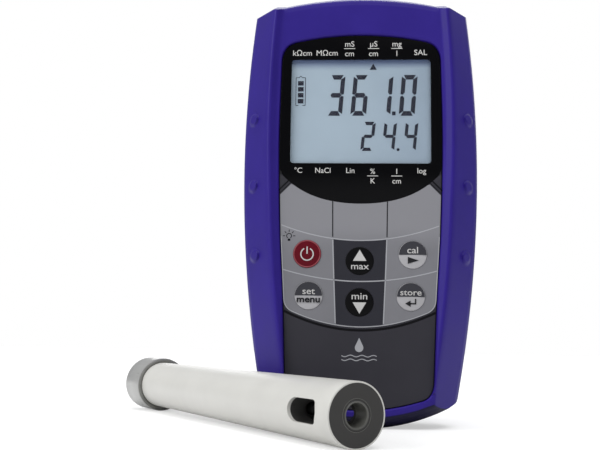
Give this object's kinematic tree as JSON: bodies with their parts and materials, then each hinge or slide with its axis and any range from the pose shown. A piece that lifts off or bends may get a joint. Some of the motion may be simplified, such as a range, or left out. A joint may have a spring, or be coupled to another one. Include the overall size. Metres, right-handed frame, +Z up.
{
  "type": "water quality probe with handheld meter",
  "caption": "Handheld conductivity meter with display and keypad in a protective boot, and its cylindrical flow-through measuring probe",
  "frame": {"origin": "centre of the meter's flat foot, where it stands", "axes": "+Z up along the meter, -Y out of its display face, +X to the right of someone facing the display"},
  "size_m": [0.1426, 0.1575, 0.16],
  "materials": {
    "boot_silicone": "matt moulded silicone",
    "housing_plastic": "fine spark-eroded texture",
    "keypad_film": "satin printed film",
    "window_acrylic": "polished",
    "lcd_glass": "polished",
    "light_guide": "satin",
    "key_red": "satin",
    "key_black": "satin",
    "key_grey": "satin",
    "mat_rubber": "matt",
    "seal_rubber": "matt",
    "circuit_board": "solder mask",
    "chip_black": "matt",
    "steel": "satin",
    "brass": "gold plated",
    "cell_jacket": "satin",
    "tube_white": "satin moulded",
    "cap_grey": "satin",
    "core_grey": "fine turned",
    "graphite": "ground graphite",
    "gland_black": "matt"
  },
  "bodies": {
    "meter": {"silicone_boot": "boot_silicone", "front_housing": "housing_plastic", "rear_housing": "housing_plastic", "housing_gasket": "seal_rubber", "housing_screw_1": "steel", "housing_screw_2": "steel", "housing_screw_3": "steel", "housing_screw_4": "steel", "keypad_overlay": "keypad_film", "display_window": "window_acrylic", "lcd_glass": "lcd_glass", "lcd_backlight": "light_guide", "lcd_contact_strip": "mat_rubber", "keypad_mat": "mat_rubber", "main_board": "circuit_board", "microcontroller": "chip_black", "converter_chip": "chip_black", "quartz_crystal": "steel", "buzzer": "chip_black", "sensor_socket": "steel", "sensor_socket_pins": "brass", "sensor_socket_nut": "steel", "interface_socket": "steel", "interface_socket_pins": "brass", "interface_socket_nut": "steel", "battery_tray": "housing_plastic", "battery_cell_1": "cell_jacket", "battery_cell_2": "cell_jacket", "battery_contact_top": "steel", "battery_contact_springs": "steel", "battery_cover_seal": "seal_rubber", "battery_cover_screw_1": "steel", "battery_cover_screw_2": "steel", "battery_cover": "housing_plastic"},
    "stand": {"tilt_stand": "housing_plastic", "tilt_stand_pin": "steel"},
    "probe": {"probe_tube": "tube_white", "cell_core": "core_grey", "electrode_1": "graphite", "electrode_2": "graphite", "electrode_3": "graphite", "electrode_4": "graphite", "temperature_sensor": "steel", "core_seal_ring": "seal_rubber", "probe_end_cap": "cap_grey", "tube_plug": "seal_rubber", "cable_gland": "gland_black", "sensor_leads": "gland_black"},
    "key_power": {"key_power": "key_red"},
    "key_up": {"key_up": "key_black"},
    "key_calibrate": {"key_calibrate": "key_grey"},
    "key_set": {"key_set": "key_grey"},
    "key_down": {"key_down": "key_black"},
    "key_store": {"key_store": "key_grey"}
  },
  "joints": [
    {"name": "key_power_press", "type": "slide", "parent": "meter", "child": "key_power", "axis": [0, 1, 0], "range_m": [0, 0.0005], "stiffness_N_per_m": 600},
    {"name": "key_up_press", "type": "slide", "parent": "meter", "child": "key_up", "axis": [0, 1, 0], "range_m": [0, 0.0005], "stiffness_N_per_m": 600},
    {"name": "key_calibrate_press", "type": "slide", "parent": "meter", "child": "key_calibrate", "axis": [0, 1, 0], "range_m": [0, 0.0005], "stiffness_N_per_m": 600},
    {"name": "key_set_press", "type": "slide", "parent": "meter", "child": "key_set", "axis": [0, 1, 0], "range_m": [0, 0.0005], "stiffness_N_per_m": 600},
    {"name": "key_down_press", "type": "slide", "parent": "meter", "child": "key_down", "axis": [0, 1, 0], "range_m": [0, 0.0005], "stiffness_N_per_m": 600},
    {"name": "key_store_press", "type": "slide", "parent": "meter", "child": "key_store", "axis": [0, 1, 0], "range_m": [0, 0.0005], "stiffness_N_per_m": 600},
    {"name": "stand_hinge", "type": "hinge", "parent": "meter", "child": "stand", "pos_m": [0, 0.0149, 0.13], "axis": [1, 0, 0], "range_deg": [0, 40]},
    {"name": "probe_pick_up", "type": "slide", "parent": "meter", "child": "probe", "axis": [0, -1, 0], "range_m": [0, 0.12]}
  ]
}
